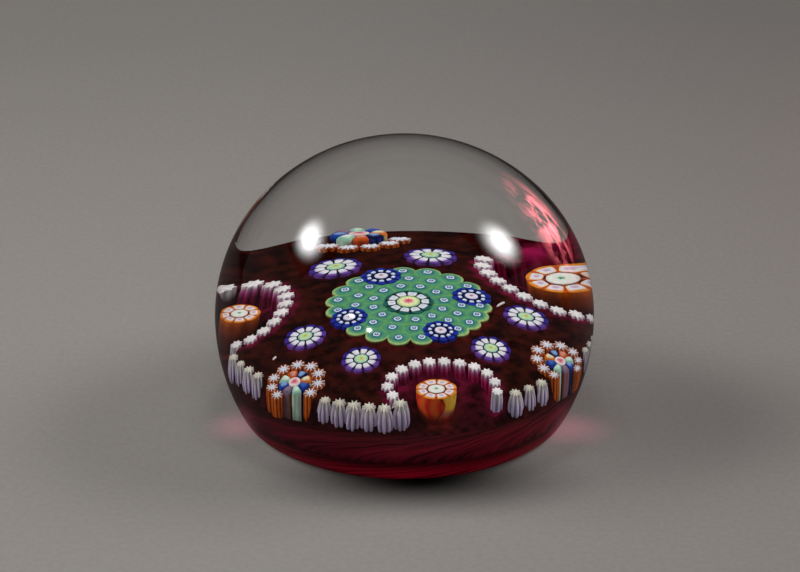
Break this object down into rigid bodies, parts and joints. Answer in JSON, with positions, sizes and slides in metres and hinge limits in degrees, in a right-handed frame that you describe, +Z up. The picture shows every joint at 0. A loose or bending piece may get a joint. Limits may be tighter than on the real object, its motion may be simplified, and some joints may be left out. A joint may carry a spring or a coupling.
{
  "type": "glass paperweight",
  "caption": "Clear crystal dome paperweight: cut glass canes in looped garlands, small clusters and a green carpet over a ruby ground, with a hollow polished base.",
  "frame": {"origin": "centre of the base, on the plane that the weight stands on", "axes": "+Z up through the dome, -Y towards the front, +X to the right seen from the front"},
  "size_m": [0.072, 0.072, 0.0536],
  "materials": {
    "crystal_dome": "clear lead crystal, fire polished",
    "ruby_ground": "deep ruby glass, nearly black in the thick middle",
    "middle_cane_star": "pink glass",
    "middle_cane_disc": "cream glass with a pale green rim",
    "middle_cane_petals": "ice white opaque glass",
    "middle_cane_casing": "dark teal glass",
    "carpet_cane_bodies": "grass green glass",
    "carpet_cane_rings": "pale blue opaque glass",
    "carpet_cane_eyes": "navy glass",
    "blue_cane_hearts": "pale opaque glass",
    "blue_cane_petals": "pale blue opaque glass",
    "blue_cane_casings": "royal blue glass",
    "purple_cane_hearts": "pale green opaque glass",
    "purple_cane_petals": "white opaque glass",
    "purple_cane_casings": "violet glass",
    "orange_cane_hearts": "white opaque glass",
    "orange_cane_petals": "white opaque glass",
    "orange_cane_casings": "orange glass",
    "cluster_hearts": "pink and white opaque glass",
    "cluster_navy_segments": "navy glass",
    "cluster_mint_segments": "mint green opaque glass",
    "cluster_striped_segments": "orange and brown striped glass",
    "cluster_blue_segments": "mid blue glass",
    "cluster_casings": "dark glass",
    "stray_slivers": "white opaque glass",
    "loop_cane_stars": "ivory opaque glass",
    "loop_cane_casings": "white glass seen through ruby, magenta",
    "edge_cane_stars": "ivory opaque glass",
    "edge_cane_casings": "lavender white glass",
    "cluster_cane_stars": "white opaque glass",
    "cluster_cane_casings": "orange brown glass"
  },
  "bodies": {
    "root": {"crystal_dome": "crystal_dome", "ruby_ground": "ruby_ground", "middle_cane_star": "middle_cane_star", "middle_cane_disc": "middle_cane_disc", "middle_cane_petals": "middle_cane_petals", "middle_cane_casing": "middle_cane_casing", "carpet_cane_bodies": "carpet_cane_bodies", "carpet_cane_rings": "carpet_cane_rings", "carpet_cane_eyes": "carpet_cane_eyes", "blue_cane_hearts": "blue_cane_hearts", "blue_cane_petals": "blue_cane_petals", "blue_cane_casings": "blue_cane_casings", "purple_cane_hearts": "purple_cane_hearts", "purple_cane_petals": "purple_cane_petals", "purple_cane_casings": "purple_cane_casings", "orange_cane_hearts": "orange_cane_hearts", "orange_cane_petals": "orange_cane_petals", "orange_cane_casings": "orange_cane_casings", "cluster_hearts": "cluster_hearts", "cluster_navy_segments": "cluster_navy_segments", "cluster_mint_segments": "cluster_mint_segments", "cluster_striped_segments": "cluster_striped_segments", "cluster_blue_segments": "cluster_blue_segments", "cluster_casings": "cluster_casings", "stray_slivers": "stray_slivers", "loop_cane_stars": "loop_cane_stars", "loop_cane_casings": "loop_cane_casings", "edge_cane_stars": "edge_cane_stars", "edge_cane_casings": "edge_cane_casings", "cluster_cane_stars": "cluster_cane_stars", "cluster_cane_casings": "cluster_cane_casings"}
  },
  "joints": []
}
